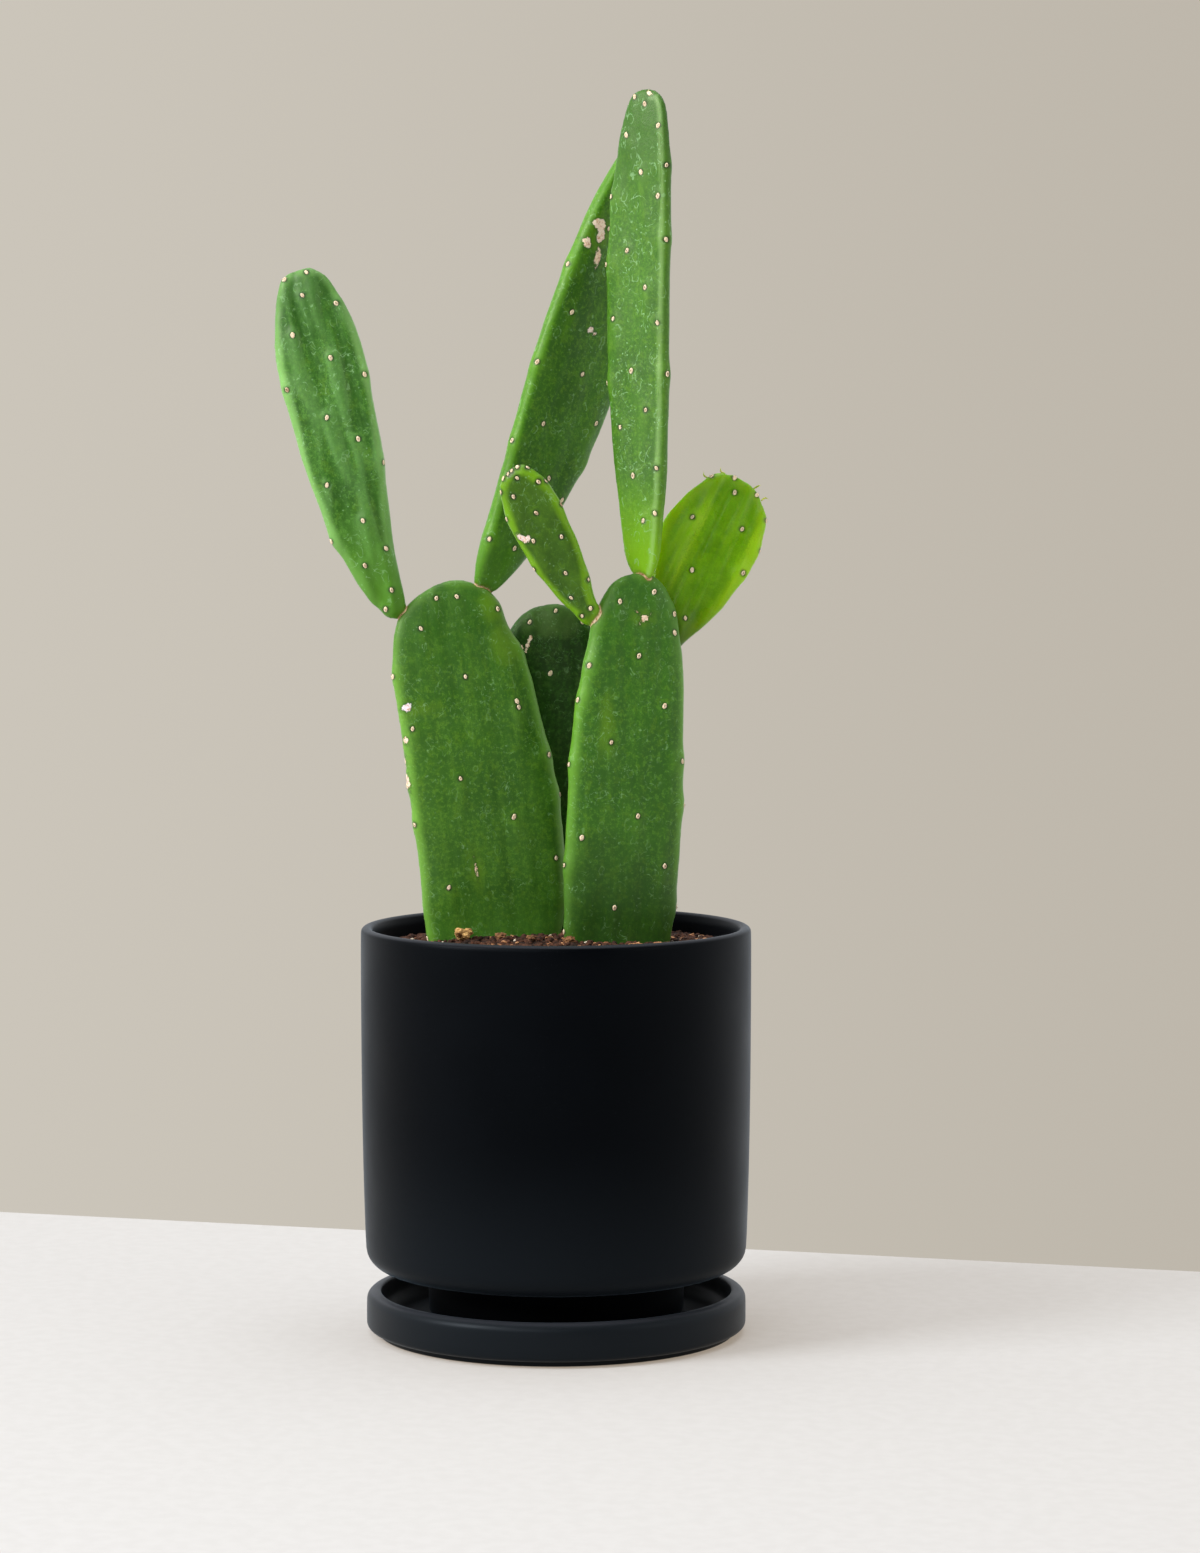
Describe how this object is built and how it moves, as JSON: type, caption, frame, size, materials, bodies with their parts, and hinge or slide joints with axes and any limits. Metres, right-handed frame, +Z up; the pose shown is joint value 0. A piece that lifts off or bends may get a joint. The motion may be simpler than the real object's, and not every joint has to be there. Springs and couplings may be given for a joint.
{
  "type": "potted paddle cactus",
  "caption": "Upright clump of flat green cactus pads growing from soil in a plain dark cylinder planter on a matching saucer.",
  "frame": {"origin": "centre of the saucer's flat underside", "axes": "+Z up the plant, -Y the front of the planting, +X to the viewer's right"},
  "size_m": [0.2547, 0.201, 0.6365],
  "materials": {
    "saucer_glaze": "satin near-black glaze",
    "pot_glaze": "satin near-black glaze",
    "potting_soil": "coarse dark brown potting mix, matt",
    "bark": "rough tan bark",
    "base_pad_skin": "waxy mid-green skin with tan cushions",
    "shaded_pad_skin": "waxy dark green skin with tan cushions",
    "upper_pad_skin": "waxy fresh green skin with tan cushions",
    "young_pad_skin": "thin translucent yellow-green skin",
    "young_leaf_skin": "fleshy yellow-green"
  },
  "bodies": {
    "root": {"saucer": "saucer_glaze", "pot": "pot_glaze", "soil": "potting_soil", "base_pad_left": "base_pad_skin", "base_pad_right": "base_pad_skin", "base_pad_back": "shaded_pad_skin", "upper_pad_left": "upper_pad_skin", "tall_pad_back": "shaded_pad_skin", "tall_pad_front": "upper_pad_skin", "small_pad_front": "base_pad_skin", "young_pad_right": "young_pad_skin", "young_leaf_1": "young_leaf_skin", "young_leaf_2": "young_leaf_skin", "young_leaf_3": "young_leaf_skin", "young_leaf_4": "young_leaf_skin", "bark_lump": "bark", "soil_chip_left": "bark", "soil_chip_middle": "bark", "soil_chip_right": "bark", "soil_chip_back": "bark"}
  },
  "joints": []
}
